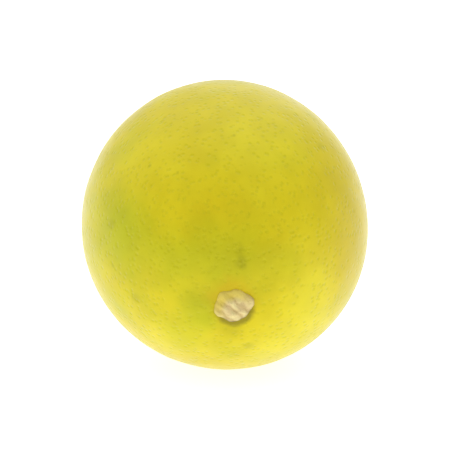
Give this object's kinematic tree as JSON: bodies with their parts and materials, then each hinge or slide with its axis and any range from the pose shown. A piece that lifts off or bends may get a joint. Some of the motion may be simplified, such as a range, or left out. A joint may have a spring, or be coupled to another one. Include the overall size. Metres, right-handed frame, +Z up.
{
  "type": "lime",
  "caption": "Ripe lime, nearly round, lying on its side: waxy yellow-green rind, shallow stem dimple with a dry stem button, low nipple at the far end, small flat spot below.",
  "frame": {"origin": "middle of the small flat spot that the fruit rests on", "axes": "+Z up, +Y towards the nippled blossom end, so that the stem button faces -Y and droops 15 degrees below level; the fruit's axis lies in the YZ plane"},
  "size_m": [0.0443, 0.0473, 0.0436],
  "materials": {
    "rind": "waxy citrus rind, yellow with a green tinge, satin",
    "dry_button": "dry, pale tan, cracked, matt"
  },
  "bodies": {
    "root": {"fruit": "rind", "stem_button": "dry_button"}
  },
  "joints": []
}
